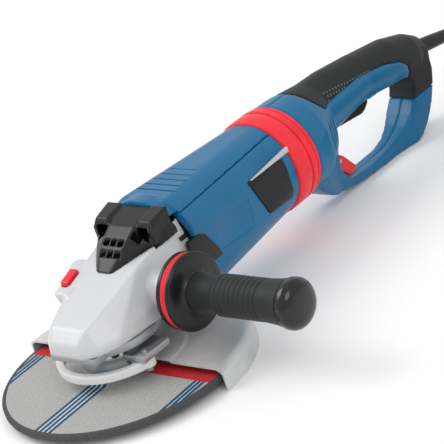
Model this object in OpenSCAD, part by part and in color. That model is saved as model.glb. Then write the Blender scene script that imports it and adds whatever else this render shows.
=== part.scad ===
// Large angle grinder with a swivelling bow handle, side handle, wheel guard and coiled lead.
// Frame: +X from the spindle to the rear handle, +Z up along the spindle, origin on the
// spindle axis at the underside of the clamping nut.

/* [Wheel and spindle] */
// Radius of the grinding wheel
wheel_r = 115; // [90:1:115]
// Thickness of the grinding wheel
wheel_t = 6; // [3:0.5:7]
// Radius of the wheel's bore
bore_r = 11.115; // [11:0.005:12]
// Radius of the spindle thread
thread_r = 7; // [6:0.5:7]

/* [Guard] */
// Outside radius of the guard
guard_r = 122; // [120:1:124]
// Height of the guard's top face
guard_top = 18; // [17:0.5:19]
// Height of the surface that the guard and the bow handle rest on
rest_z = -4; // [-5:0.5:-3]
// Thickness of the guard's sheet
sheet_t = 2; // [1.5:0.1:2.5]

/* [Machine] */
// Height of the motor axis
motor_z = 79; // [78:0.5:80]
// Half width of the motor housing
body_w = 50; // [49:0.5:51]
// Radius of the swivel ring
ring_r = 50; // [49.5:0.5:52]

/* [Side handle] */
// Distance of the side handle's axis behind the spindle
side_x = 37; // [34:1:38]
// Height of the side handle's axis
side_z = 69; // [68:0.5:71]
// Distance from the centre plane to the end of the side handle
side_end = 205; // [200:1:210]

/* [Lead] */
// Diameter of the lead
cord_d = 9; // [8:0.5:9.5]

/* [Hidden] */
$fn = 64;
gap = 0.3;             // between bodies that move
eps = 0.01;
fit = 0.05;            // radial running clearance
head_x0 = -57;         // front of the gear housing
head_x1 = 84;          // joint between gear housing and motor housing
cover_x0 = 76;         // front lip of the top cover
body_x1 = 233;         // rear of the motor housing
ring_x1 = 267;         // rear of the swivel ring
wheel_z = 3;           // underside of the wheel's rim
hub_z = wheel_z + 5;   // underside of the wheel's raised hub
collar_r = 32;         // neck that the guard turns on
teeth_crown = 41;
teeth_pinion = 11;
crown_pr = 33.5;       // pitch radius of the crown gear
pinion_pr = crown_pr * teeth_pinion / teeth_crown;
baffle_r = 46;         // outside radius of the baffle ring behind the fan
core_x0 = 100;         // front of the armature and field cores
core_len = 46;
tooth_in = 0.76;       // inner end of the teeth, as a share of the cone distance
grip_w = 20;           // half width of the rear grip
grip_h = 25;           // half height of the rear grip
loop_w = 17;           // half width of the bow's rear leg
bar_w = 10.5;          // half width of the bow's lower bar
lever_z = 22;          // underside of the guard's clamp lever
lever_pin = [-14, -50];
trigger_pin = [348, 77];
release_pin = [334, 34];

// ---- Helpers ----

// Turns a shape so that its own Z runs along +X at the motor's height
module motor_axis(x = 0) {
    translate([x, 0, motor_z]) rotate([0, 90, 0]) children();
}

// A ring along the motor axis
module motor_ring(x, length, outer, inner) {
    motor_axis(x) difference() {
        cylinder(h = length, r = outer);
        translate([0, 0, -1]) cylinder(h = length + 2, r = inner);
    }
}

// Turns a shape so that its own Z runs along -Y on the side handle's axis
module side_axis(y = 0) {
    translate([side_x, -y, side_z]) rotate([90, 0, 0]) children();
}

// Extrudes an outline drawn in X and Z by half a width to each side
module side_profile(half) {
    rotate([90, 0, 0]) linear_extrude(height = 2 * half, center = true) children();
}

// A thin slice across the motor axis, as a rounded rectangle
module body_slice(x, half_y, half_z, corner, z = motor_z) {
    translate([x, 0, z]) rotate([0, 90, 0]) linear_extrude(height = 0.1) intersection() {
        square([2 * half_z, 2 * half_y], center = true);
        circle(r = corner, $fn = 48);
    }
}

// ---- Gear head ----

// A thin slice of the head across X: bottom, corner and top, each as half width and height
module head_slice(x, low, corner, top) {
    translate([x, 0, 0]) rotate([90, 0, 90]) linear_extrude(height = 0.1) polygon([
        [-low[0], low[1]], [-corner[0], corner[1]], [-top[0], top[1]],
        [top[0], top[1]], [corner[0], corner[1]], [low[0], low[1]]
    ]);
}

// The head's outer form, widening and rising from its nose to the motor housing
module head_form() difference() {
    hull() {
        head_slice(head_x0, [18, 46], [20, 54], [17, 62]);
        head_slice(-46, [32, 46], [33, 55], [22, 72.5]);
        head_slice(-28, [41, 46], [42, 56], [26, 79]);
        head_slice(24, [46, 40], [46.5, 64], [33, 97]);
        head_slice(head_x1 - 0.1, [47, 34], [48, 74], [35, 112]);
    }
    translate([-80, -60, 20]) cube([134, 120, 28]);
}

// Room for the fan, widening towards the motor
module fan_room() motor_axis(52) cylinder(h = 33, r1 = 38.8, r2 = 42.1);

// Cast gear housing with its bearing seats, gear room and fan room
module gear_housing() color("gainsboro") difference() {
    union() {
        head_form();
        // boss for the spindle lock on the right shoulder
        translate([-10, 24, 66]) rotate([0, -16, 0]) cube([34, 18, 20]);
        // bosses for the side handle
        for (s = [-1, 1]) translate([side_x, s * 40, side_z]) rotate([-s * 90, 0, 0])
            cylinder(h = 26, r = 17);
    }
    translate([0, 0, 47]) cylinder(h = 25.3, r = 36);
    translate([0, 0, 72]) cylinder(h = 2.3, r = 30);
    translate([0, 0, 72]) cylinder(h = 12, r = 9);
    motor_axis(16) cylinder(h = 25, r = 12.5);
    motor_axis(40) cylinder(h = 13, r = 16);
    fan_room();
    // room for the air deflector
    translate([48, -32, 101]) cube([50, 64, 30]);
    // threads for the side handle
    for (s = [-1, 1]) translate([side_x, s * 46, side_z]) rotate([-s * 90, 0, 0]) cylinder(h = 30, r = 7);
    // spindle lock bore
    translate([4, 36, 45]) cylinder(h = 60, r = 3 + fit);
    translate([-4.5, 31, 79.5]) cube([17, 10, 30]);
    // long screws into the motor housing
    for (y = [-41, 41], z = [44, 96]) translate([70, y, z]) rotate([0, 90, 0]) cylinder(h = 20, r = 2);
}

// Flange that closes the gear room and carries the guard on its neck
module bearing_flange() color("silver") difference() {
    union() {
        translate([0, 0, 41]) linear_extrude(height = 7) union() {
            circle(r = 46);
            translate([-52, -28]) square([30, 56]);
        }
        translate([0, 0, 24]) cylinder(h = 18, r = collar_r);
    }
    translate([0, 0, 20]) cylinder(h = 40, r = 12);
    translate([0, 0, 32]) cylinder(h = 20, r = 20);
    for (a = [45:90:315]) rotate([0, 0, a]) translate([42, 0, 30]) cylinder(h = 30, r = 2);
}

// Four screws that hold the flange to the head
module flange_screws() color("dimgray") for (a = [45:90:315])
    rotate([0, 0, a]) translate([42, 0, 41]) rotate([180, 0, 0]) {
        cylinder(h = 3, r = 3.6);
        translate([0, 0, -7]) cylinder(h = 7, r = 2);
    }

// A slice of the vent cover across X: base, shoulder and top, each as half width and height
module cover_slice(x, base, shoulder, top) {
    translate([x, 0, 0]) rotate([90, 0, 90]) linear_extrude(height = 0.1) polygon([
        [-base[0], base[1]], [-shoulder[0], shoulder[1]], [-top[0], top[1]],
        [top[0], top[1]], [shoulder[0], shoulder[1]], [base[0], base[1]]
    ]);
}

// Black domed cover on the shoulder of the head, with outlets and two horned scoops
module air_deflector() color("#26282b") difference() {
    union() {
        hull() {
            cover_slice(13, [11, 90], [10, 93], [6, 94.5]);
            cover_slice(24, [19, 92], [18, 98], [11, 103]);
            cover_slice(36, [27, 96], [25, 106], [14, 113]);
            cover_slice(50, [36, 100], [33, 112], [15, 121]);
            cover_slice(cover_x0 - 0.2, [42, 104], [41, 111], [22, 127.5]);
        }
        // horns
        for (s = [-1, 1]) hull() {
            translate([49, s * 27 - 9, 104]) cube([1, 18, 14]);
            translate([54, s * 27 - 7.5, 110]) cube([1, 15, 15]);
            translate([cover_x0 - 1.1, s * 28 - 9, 108]) cube([1, 18, 21]);
        }
    }
    // underside follows the head, and is open over the fan
    head_form();
    translate([40, -60, 60]) cube([60, 120, 40]);
    fan_room();
    // scoops beside the centre strap, running back under the horns
    for (s = [-1, 1]) {
        translate([41, s * 21.5 - 5, 103]) cube([9.5, 10, 40]);
        translate([46, s * 25 - 6.5, 101]) cube([25, 13, 19]);
    }
    // two rows of outlets in the front of the dome
    for (y = [-12.5, -4, 4.5]) {
        translate([24, y, 99.5]) cube([5.5, 8, 20]);
        translate([33, y, 106]) cube([5.5, 8, 20]);
    }
}

// Black baffle ring behind the fan, let into the motor housing and notched for the upper screws
module baffle_plate() color("#2e2f31") difference() {
    motor_ring(head_x1 + 0.1, 4, baffle_r, 40);
    for (y = [-41, 41]) translate([75, y, 96]) rotate([0, 90, 0]) cylinder(h = 24, r = 2);
}

// Four long screws from the head into the motor housing
module housing_screws() color("dimgray") for (y = [-41, 41], z = [44, 96])
    translate([75, y, z]) rotate([0, 90, 0]) cylinder(h = 24, r = 2);

// A ball bearing as its outer ring, inner ring and shields
module bearing(outer, inner, width) {
    difference() {
        cylinder(h = width, r = outer);
        translate([0, 0, -1]) cylinder(h = width + 2, r = inner);
        for (z = [-1, width - 0.6]) translate([0, 0, z]) difference() {
            cylinder(h = 1.6, r = outer * 0.84);
            translate([0, 0, -1]) cylinder(h = 4, r = inner * 1.3);
        }
    }
}

module spindle_bearings() color("silver") {
    translate([0, 0, 32]) bearing(20, 8.5 + fit, 12);
    translate([0, 0, 74]) difference() {
        cylinder(h = 9, r = 9);
        translate([0, 0, -1]) cylinder(h = 12, r = 6 + fit);
    }
}
module front_bearing() color("silver") motor_axis(41) bearing(16, 6 + fit, 10);
module rear_bearing() color("silver") motor_axis(185) bearing(11, 4 + fit, 7);

// ---- Motor housing ----

// The motor housing's outer form, slightly narrower at the rear
module body_form() {
    hull() {
        body_slice(head_x1 + 0.1, body_w, 52, 58, motor_z - 1.5);
        body_slice(112, body_w, 52, 56.5, motor_z - 2);
        body_slice(152, body_w, 51, 53, motor_z - 1.5);
        body_slice(body_x1 - 0.1, 47, 47, 48, motor_z);
    }
}

// Where the side pads are let in
module pad_recess(deeper = 0) for (s = [-1, 1])
    translate([0, s * (body_w - 2.5), 0]) side_profile(3 + deeper)
        polygon([[168, 102], [222, 102], [222, 58], [183, 62]]);

// Blue motor housing up to the seam of the top cover
module motor_housing() color("#1f6f9f") difference() {
    body_form();
    translate([70, -80, 117]) cube([200, 160, 40]);
    motor_axis(80) cylinder(h = 145, r = 44.5);
    motor_axis(80) cylinder(h = head_x1 + 4.2 - 80, r = baffle_r);
    motor_axis(220) cylinder(h = 20, r = 15);
    pad_recess();
    for (y = [-41, 41], z = [44, 96]) translate([70, y, z]) rotate([0, 90, 0]) cylinder(h = 30, r = 2);
    for (a = [45:90:315]) motor_axis(220) rotate([0, 0, a]) translate([22.5, 0, 0]) cylinder(h = 20, r = 1.6);
}

// Blue top cover with five grooves across it
module top_cover() color("#1f6f9f") difference() {
    union() {
        intersection() {
            body_form();
            translate([70, -80, 117 + eps]) cube([200, 160, 40]);
        }
        intersection() {
            motor_axis(cover_x0) cylinder(h = 14, r = 53);
            translate([70, -36, 117 + eps]) cube([20, 72, 20]);
        }
    }
    motor_axis(70) cylinder(h = 155, r = 44.5);
    motor_axis(80) cylinder(h = head_x1 + 4.2 - 80, r = baffle_r);
    for (i = [0:4]) translate([100 + 10 * i, -40, motor_z + 50]) cube([2, 80, 10]);
}

// Rubber pads let into both sides of the motor housing
module side_pads() color("#303234") intersection() {
    pad_recess();
    body_form();
}

// Laminated field core with two side pockets for the coils
module field_core() color("#8b8f94") difference() {
    motor_ring(core_x0, core_len, 44.5, 27.2);
    for (s = [-1, 1]) motor_axis(core_x0 - 1) rotate([0, 0, 90 * s]) translate([0, -17, 0])
        cube([38, 34, core_len + 2]);
}

// Copper field coils: two side legs each, joined round both ends of the core
module field_coils() color("#b5651d") for (s = [-1, 1]) {
    for (t = [-1, 1]) motor_axis(core_x0 - 6) intersection() {
        difference() {
            cylinder(h = core_len + 12, r = 37);
            translate([0, 0, -1]) cylinder(h = 80, r = 29);
        }
        translate([s > 0 ? 1 : -16, t > 0 ? 20 : -40, -1]) cube([15, 20, 80]);
    }
    for (x = [core_x0 - 6, core_x0 + core_len + 0.5]) motor_axis(x) intersection() {
        difference() {
            cylinder(h = 5.5, r = 37);
            translate([0, 0, -1]) cylinder(h = 8, r = 29);
        }
        translate([s > 0 ? 1 : -41, -40, -1]) cube([40, 80, 10]);
    }
}

// Moulded bridge that seats the rear bearing and both brush holders
module brush_bridge() color("#1d1e20") difference() {
    union() {
        motor_ring(183, 11, 44.5, 11);
        for (s = [-1, 1]) translate([156, s > 0 ? 31 : -40, motor_z - 8]) cube([30, 9, 16]);
    }
    for (s = [-1, 1]) translate([157, s > 0 ? 20 : -42, motor_z - 6]) cube([17, 22, 12]);
    motor_axis(180) for (a = [0:60:300]) rotate([0, 0, a + 30]) translate([28, 0, 0]) cylinder(h = 20, r = 8);
}

// Brass tubes that guide the brushes
module brush_holders() color("goldenrod") for (s = [-1, 1]) difference() {
    translate([157, s > 0 ? 20 : -42, motor_z - 6]) cube([17, 22, 12]);
    translate([159, s > 0 ? 19 : -41, motor_z - 4]) cube([13, 22, 8]);
}

// Carbon brushes on the commutator
module carbon_brushes() color("#3a3a3a") for (s = [-1, 1]) difference() {
    translate([159.1, s > 0 ? 16 : -32, motor_z - 3.9]) cube([12.8, 16, 7.8]);
    motor_axis(150) cylinder(h = 40, r = 17 + fit);
}

// One ring of a coil spring's wire, as points round its centre line
function spring_ring(turn, pitch, r, wire, sides) = [
    for (k = [0:sides - 1]) let (a = 360 * k / sides, q = r + wire * cos(a))
        [q * cos(360 * turn), q * sin(360 * turn), pitch * turn + wire * sin(a)]
];

// A coil spring swept along a helix
module coil_spring(r, wire, height, turns, sides = 6, steps = 10) {
    pitch = (height - 2 * wire) / turns;
    n = turns * steps;
    pts = [for (i = [0:n]) each spring_ring(i / steps, pitch, r, wire, sides)];
    walls = [for (i = [0:n - 1], k = [0:sides - 1]) let (a = i * sides + k, b = i * sides + (k + 1) % sides)
        [a, b, b + sides, a + sides]];
    ends = [[for (k = [sides - 1:-1:0]) k], [for (k = [0:sides - 1]) n * sides + k]];
    translate([0, 0, wire]) polyhedron(points = pts, faces = concat(walls, ends));
}

// Springs that push the brushes in
module brush_springs() color("silver") for (s = [-1, 1])
    translate([165.5, s * 32.1, motor_z]) rotate([-s * 90, 0, 0]) coil_spring(2.8, 0.4, 9, 4);

// Start-up and speed control module behind the brushes
module speed_module() color("#3b3f45") translate([200, -22, motor_z - 14]) cube([22, 44, 28]);

// ---- Swivel joint ----

// Black hub screwed to the motor housing, which the rear handle turns on
module swivel_hub() color("#1d1e20") difference() {
    union() {
        motor_axis(body_x1) cylinder(h = 44, r = 30);
        motor_axis(271) cylinder(h = 6, r = 37);
    }
    motor_axis(body_x1 - 1) cylinder(h = 60, r = 15);
    for (a = [45:90:315]) motor_axis(body_x1 - 1) rotate([0, 0, a]) translate([22.5, 0, 0])
        cylinder(h = 20, r = 1.6);
    // notches that the release lever's tooth drops into
    for (a = [0, 90, -90]) motor_axis(271) rotate([0, 0, a]) translate([33, -4, -1]) cube([6, 8, 8]);
}

// Red damping ring with two ribs and a narrower waist
module swivel_ring() color("#d8232a") motor_axis(body_x1) rotate_extrude() polygon([
    [30, 0], [48.5, 0], [ring_r, 2], [ring_r, 18], [48, 19], [48, 21], [ring_r, 22],
    [ring_r, 27], [47.5, 28], [47.5, 30], [ring_r - 1, 31], [ring_r - 1, 34], [30, 34]
]);

// ---- Side handle ----

module side_handle_bolt() color("silver") side_axis(46) difference() {
    union() {
        cylinder(h = 60, r = 7);
        translate([0, 0, 50]) cylinder(h = 100, r = 4);
    }
    translate([0, 0, -1]) cylinder(h = 6, r = 2.5);
}
module side_handle_washer() color("#1b1c1e") side_axis(66) difference() {
    cylinder(h = 4, r = 34.5);
    translate([0, 0, -1]) cylinder(h = 8, r = 7);
}
module side_handle_damper() color("#d8232a") side_axis(70) rotate_extrude() polygon([
    [12, 0], [33, 0], [34, 1.5], [32.5, 3.5], [34, 5.5], [33, 7], [12, 7]
]);
module side_handle_flange() color("#1b1c1e") side_axis(77) rotate_extrude() polygon([
    [7, 0], [34.5, 0], [35.5, 1], [35.5, 3], [34, 4.5], [22, 6], [18, 9], [7, 9]
]);
module side_handle_core() color("#141516") side_axis(86) difference() {
    cylinder(h = 103, r = 13);
    translate([0, 0, -1]) cylinder(h = 21.1, r = 7);
    translate([0, 0, 20]) cylinder(h = 94, r = 4);
}
module side_handle_grip() color("#2b2d2f") side_axis(86) rotate_extrude() polygon([
    [13, 0], [17.5, 0], [16.2, 6], [16.5, 26], [18.7, 29], [18.5, 50], [18.7, 80], [19.6, 97], [21, 103],
    [13, 103]
]);
module side_handle_cap() color("#101112") side_axis(189) rotate_extrude() polygon([
    [0, 7.1], [4.2, 7.1], [4.2, 0], [21, 0], [22.5, 3], [22.5, 7], [20.5, 11], [15, side_end - 191],
    [0, side_end - 189]
]);

// ---- Spindle and wheel ----

// Hardened spindle: thread, bearing seats and a key-less gear seat
module spindle() color("silver") difference() {
    union() {
        translate([0, 0, 1]) cylinder(h = 20, r = thread_r);
        translate([0, 0, 20]) cylinder(h = 11, r = 10.5);
        translate([0, 0, 20]) cylinder(h = 48, r = 8.5);
        translate([0, 0, 68]) cylinder(h = 14, r = 6);
    }
    translate([0, 0, 0]) cylinder(h = 4, r = 2.5);
}

// One tooth of the crown gear, tapering to the point where both axes meet
module crown_tooth(half, top, root) {
    base = motor_z - pinion_pr;
    outer = [
        [crown_pr, -half * 1.25, base - root], [crown_pr, half * 1.25, base - root],
        [crown_pr, half * 0.7, base + top], [crown_pr, -half * 0.7, base + top]
    ];
    apex = [0, 0, motor_z];
    inner = [for (p = outer) apex + (p - apex) * tooth_in];
    polyhedron(points = concat(outer, inner), faces = [
        [0, 3, 2, 1], [4, 5, 6, 7], [0, 1, 5, 4], [1, 2, 6, 5], [2, 3, 7, 6], [3, 0, 4, 7]
    ]);
}

// Crown gear pressed on the spindle, with a gap between teeth facing the pinion
module crown_gear() color("#9a9da1") {
    rotate_extrude() polygon([
        [8.5, 50], [20, 50], [34, 58], [34, motor_z - pinion_pr - 1.75],
        [crown_pr * tooth_in - 0.6, motor_z - pinion_pr * tooth_in - 1.35], [24, 66], [14, 66], [14, 67.5],
        [8.5, 67.5]
    ]);
    for (i = [0:teeth_crown - 1]) rotate([0, 0, (i + 0.5) * 360 / teeth_crown])
        crown_tooth(0.95, 0.9, 1.95);
}

module backing_flange() color("silver") difference() {
    translate([0, 0, hub_z + wheel_t]) cylinder(h = 20 - hub_z - wheel_t, r = 25);
    translate([0, 0, 0]) cylinder(h = 30, r = thread_r + fit);
}

// Bonded wheel with a raised hub, so that the nut stays near its underside
module grinding_wheel() color("#6b6b69") rotate_extrude($fn = 128) polygon([
    [bore_r, hub_z], [28, hub_z], [38, wheel_z], [wheel_r - 0.5, wheel_z], [wheel_r, wheel_z + 0.5],
    [wheel_r, wheel_z + wheel_t - 0.5], [wheel_r - 0.5, wheel_z + wheel_t],
    [40, wheel_z + wheel_t], [30, hub_z + wheel_t], [bore_r, hub_z + wheel_t]
]);

// Clamping nut with a pilot for the wheel and two holes for a pin spanner
module clamping_nut() color("#4a4c4f") difference() {
    union() {
        cylinder(h = hub_z, r = 22);
        translate([0, 0, hub_z]) cylinder(h = 4, r = bore_r - 0.1);
    }
    translate([0, 0, -1]) cylinder(h = 20, r = thread_r + fit);
    for (s = [-1, 1]) translate([s * 17.5, 0, -1]) cylinder(h = 6, r = 2.5);
}

// ---- Armature ----

module armature_shaft() color("silver") motor_axis() difference() {
    union() {
        translate([0, 0, 20]) cylinder(h = 20, r = 5);
        translate([0, 0, 38]) cylinder(h = 146, r = 6);
        translate([0, 0, 184]) cylinder(h = 9, r = 4);
    }
}

// Pinion outline at its large end, a gap between teeth never facing down
module pinion_outline() {
    root = pinion_pr - 1.7;
    circle(r = root, $fn = 44);
    for (i = [0:teeth_pinion - 1]) rotate([0, 0, i * 360 / teeth_pinion])
        polygon([
            [root - 1, -1.3], [root, -1.15], [pinion_pr + 0.9, -0.55], [pinion_pr + 0.9, 0.55],
            [root, 1.15], [root - 1, 1.3]
        ]);
}

// Bevel pinion, tapering towards the spindle
module pinion() color("#9a9da1") difference() {
    union() {
        motor_axis(crown_pr) mirror([0, 0, 1])
            linear_extrude(height = crown_pr * (1 - tooth_in), scale = tooth_in) pinion_outline();
        motor_axis(crown_pr) cylinder(h = 4.5, r = pinion_pr - 0.4);
    }
    motor_axis(20) cylinder(h = 30, r = 5);
}
module pinion_nut() color("dimgray") motor_axis(20.5) difference() {
    cylinder(h = 4.6, r = 6.5, $fn = 6);
    translate([0, 0, -1]) cylinder(h = 8, r = 5);
}

// Cooling fan: a back plate with a hub and thirteen straight blades
module fan() color("#3a3d40") {
    motor_ring(66, 3, 38, 6);
    motor_ring(56, 11, 12, 6);
    for (i = [0:12]) motor_axis(56) rotate([0, 0, i * 360 / 13]) translate([11, -1, 0]) cube([26, 2, 11]);
}
module armature_core() color("#8b8f94") motor_axis(core_x0) difference() {
    cylinder(h = core_len, r = 26.4);
    translate([0, 0, -1]) cylinder(h = 80, r = 6);
    for (i = [0:15]) rotate([0, 0, i * 22.5]) translate([24, -1, -1]) cube([5, 2, 80]);
}
module armature_windings() color("#b5651d") for (x = [core_x0 - 8, core_x0 + core_len])
    motor_axis(x) rotate_extrude() polygon([[6, 0], [19, 0], [23, 2], [23, 6], [19, 8], [6, 8]]);
module commutator() color("#b87333") motor_axis(156) difference() {
    cylinder(h = 20, r = 17);
    translate([0, 0, -1]) cylinder(h = 30, r = 6);
    for (i = [0:23]) rotate([0, 0, i * 15]) translate([16, -0.3, -1]) cube([2, 0.6, 18]);
}

// ---- Guard ----

// Outline of the guard in plan, covering the rear half of the wheel
module guard_plan(r) intersection() {
    circle(r = r, $fn = 128);
    translate([0.5, -r - 1]) square([r + 1, 2 * r + 2]);
}

// Pressed steel guard: stepped top and a rolled skirt
module guard_shell() color("#d5d6d6") difference() {
    union() {
        translate([0, 0, rest_z]) linear_extrude(height = guard_top - rest_z - 4) guard_plan(guard_r);
        translate([0, 0, guard_top - 4]) linear_extrude(height = 2) guard_plan(guard_r - 1.2);
        translate([0, 0, guard_top - 2]) linear_extrude(height = 2) guard_plan(guard_r - 4);
        translate([0, 0, guard_top - 2]) linear_extrude(height = 4) guard_plan(62);
    }
    translate([0, 0, rest_z - 1]) linear_extrude(height = guard_top - rest_z - 2)
        circle(r = guard_r - sheet_t, $fn = 128);
    translate([0, 0, guard_top - 4]) linear_extrude(height = 2) circle(r = guard_r - 5, $fn = 128);
    translate([0, 0, guard_top - 3]) cylinder(h = 3, r = 60);
    translate([0, 0, 0]) cylinder(h = 40, r = collar_r + 1);
}

// Clamp band round the neck of the bearing flange
module guard_band() color("#b9bcbe") difference() {
    translate([0, 0, guard_top + 2]) cylinder(h = 18, r = collar_r + 4);
    translate([0, 0, guard_top - 10]) cylinder(h = 60, r = collar_r + fit);
    // split in the band at the clamp
    translate([-20, -60, guard_top + 1]) cube([3, 40, 30]);
}

// Block that carries the clamp's lever
module clamp_block() color("#a7aaac") difference() {
    translate([-24, -58, guard_top + 12.5]) cube([34, 24, 6]);
    translate([0, 0, 0]) cylinder(h = 60, r = collar_r + 4);
    translate([lever_pin[0], lever_pin[1], 0]) cylinder(h = 60, r = 3);
}

// Screw that the clamp lever turns on
module clamp_screw() color("silver") translate([lever_pin[0], lever_pin[1], 0]) {
    translate([0, 0, guard_top + 0.5]) cylinder(h = 3, r = 5);
    translate([0, 0, guard_top + 2]) cylinder(h = 18, r = 3);
}

// Curved clamp lever that lies round the front of the neck
module clamp_lever() color("#dcdddd") difference() {
    union() {
        translate([0, 0, lever_z]) linear_extrude(height = 8) intersection() {
            difference() {
                circle(r = 57);
                circle(r = 50);
            }
            polygon([[0, 0], [-20, -80], [-100, -80], [-100, 90], [-60, 90]]);
        }
        translate([lever_pin[0], lever_pin[1], lever_z]) cylinder(h = 8, r = 7);
        translate([-33, 41, lever_z]) rotate([0, 0, -20]) cube([7, 22, 8]);
    }
    translate([lever_pin[0], lever_pin[1], 0]) cylinder(h = 60, r = 3 + fit);
}

// ---- Spindle lock ----

module lock_button() color("#d8232a") difference() {
    translate([-4, 31.5, 84]) cube([16, 9, 14]);
    translate([-12, 20, 89]) rotate([0, -16, 0]) cube([40, 30, 20]);
}
module lock_pin() color("silver") translate([4, 36, 74]) cylinder(h = 10, r = 3);

// ---- Rear handle ----

// A slice of the grip, square to X
module grip_slice(x, z, half_y, half_z) {
    translate([x, 0, z]) rotate([0, 90, 0]) scale([1, half_y / half_z, 1])
        cylinder(h = 0.1, r = half_z, $fn = 32);
}

// The bell and the grip
module grip_form() {
    hull() {
        body_slice(ring_x1 + gap, 48.5, 48.5, 48.5);
        body_slice(290, 46, 48.5, 48.5, motor_z - 0.5);
        grip_slice(322, motor_z + 3, 30, 43);
    }
    hull() {
        grip_slice(320, motor_z + 14, 26, 32);
        grip_slice(350, motor_z + 20.5, grip_w, grip_h);
        grip_slice(400, motor_z + 14.5, grip_w, grip_h);
    }
    hull() {
        grip_slice(398, motor_z + 14.5, grip_w, grip_h);
        grip_slice(450, motor_z + 7, grip_w, grip_h);
        grip_slice(484, motor_z - 1, 19, 23);
        grip_slice(501, motor_z - 3, 14, 15);
    }
}

// The bow below the grip, as an outline in X and Z
module bow_outline() difference() {
    polygon([
        [ring_x1 + gap, 90], [ring_x1 + gap, 50], [272, 42], [284, 28], [296, 17], [310, 9.5],
        [328, 4.5], [350, 0.5], [398, rest_z + 0.6], [430, rest_z], [446, rest_z], [456, -1],
        [470, 8], [484, 24], [494, 41], [499, 56], [500, 80], [480, 84]
    ]);
    polygon([
        [333, 42], [330, 30], [335, 17], [344, 10], [356, 8], [380, 7.5], [406, 8.5], [422, 12], [436, 19],
        [448, 28], [458, 39], [463, 50], [463, 58], [458, 64], [452, 66], [346, 72], [340, 64], [338, 52]
    ]);
}

// Plan of the bow: wide at the bell and the rear leg, narrow along the bar
module bow_plan() polygon([
    [ring_x1, 30], [300, 22], [322, 13], [345, bar_w], [416, bar_w], [432, 13], [448, loop_w], [520, loop_w],
    [520, -loop_w], [448, -loop_w], [432, -13], [416, -bar_w], [345, -bar_w], [322, -13], [300, -22],
    [ring_x1, -30]
]);

// Whole rear handle before it is split into its pieces
module handle_form() {
    grip_form();
    intersection() {
        side_profile(30) bow_outline();
        translate([0, 0, -20]) linear_extrude(height = 120) bow_plan();
    }
}

// Rooms inside the handle
module handle_rooms() {
    motor_axis(ring_x1 - 1) cylinder(h = 10, r = 30 + gap);
    motor_axis(270.5) cylinder(h = 7, r = 37 + gap);
    motor_axis(277) cylinder(h = 36, r = 30);
    // finger room and trigger slot
    translate([340, -9, 50]) cube([66, 18, motor_z + 24 - 50]);
    translate([300, -13, motor_z + 2]) cube([110, 26, 22]);
    // cord channel
    translate([405, 0, motor_z + 8]) rotate([0, 98, 0]) cylinder(h = 66, r = 8);
    translate([460, 0, motor_z - 0.5]) rotate([0, 90, 0]) cylinder(h = 60, r = 8.3);
    // lever pocket
    translate([322, -8, 8.8]) cube([40, 16, 36]);
    for (p = [[284, 116], [290, 42], [392, 2]])
        translate([p[0], 0, p[1]]) rotate([90, 0, 0]) cylinder(h = 60, r = 1.8, center = true);
    for (p = [trigger_pin, release_pin])
        translate([p[0], 0, p[1]]) rotate([90, 0, 0]) cylinder(h = 20, r = 1.9, center = true);
}

// Region that the black overmould covers, in X and Z
module overmould_region() side_profile(40) polygon([
    [296, 150], [297, 128], [304, 113], [314, 102], [340, 103], [383, 102], [425, 95], [448, 87], [460, 78],
    [463, 70], [458, 64], [445, 60], [445, 39.5], [520, 39.5], [520, 150]
]);

module handle_half(side) difference() {
    intersection() {
        handle_form();
        translate([200, side > 0 ? 0 : -60, -20]) cube([400, 60, 200]);
    }
    handle_rooms();
    overmould_region();
}
module handle_shell_left() color("#1f6f9f") handle_half(-1);
module handle_shell_right() color("#1f6f9f") handle_half(1);

// Soft black overmould on the top and the rear corner of the handle
module grip_overmould() color("#2b2d2f") difference() {
    intersection() {
        handle_form();
        overmould_region();
    }
    handle_rooms();
}

// Screws that join the handle's halves
module handle_screws() color("dimgray") for (p = [[284, 116], [290, 42], [392, 2]])
    translate([p[0], 0, p[1]]) rotate([90, 0, 0]) cylinder(h = 16, r = 1.8, center = true);

// Switch with its terminals, above the trigger
module switch_body() color("#1d1e20") translate([352, -12, motor_z + 6]) cube([50, 24, 16]);

// Rubber sleeve where the lead leaves the handle
module strain_relief() color("#17181a") translate([488, 0, motor_z - 0.5]) rotate([0, 90, 0]) difference() {
    union() {
        cylinder(h = 20, r = 8.2);
        translate([0, 0, 17.5]) rotate([0, 14, 0]) cylinder(h = 58, r1 = 8, r2 = 6.2);
    }
    translate([0, 0, -1]) cylinder(h = 12, r = 4.5);
}

// Trigger: a paddle that turns on a pin at its front
module trigger() color("#232527") difference() {
    side_profile(8) polygon([
        [343, 80], [342, 68], [346, 64.5], [386, 59.5], [392, 61], [399, 66], [401, 74], [398, 77],
        [350, 82.5]
    ]);
    translate([trigger_pin[0], 0, trigger_pin[1]]) rotate([90, 0, 0]) cylinder(h = 40, r = 2, center = true);
}

// Pins that the trigger and the release lever turn on
module pivot_pins() color("silver") for (p = [[trigger_pin, 16], [release_pin, 16]])
    translate([p[0][0], 0, p[0][1]]) rotate([90, 0, 0]) cylinder(h = p[1] + 4, r = 1.9, center = true);

// Red lever that frees the swivel joint
module release_lever() color("#d8232a") difference() {
    side_profile(7) polygon([
        [328, 28], [328, 40], [333, 42.5], [343, 35], [357, 17], [354, 13], [345, 12.5], [335, 22]
    ]);
    translate([release_pin[0], 0, release_pin[1]]) rotate([90, 0, 0]) cylinder(h = 40, r = 2, center = true);
}

// ---- Lead ----

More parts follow.
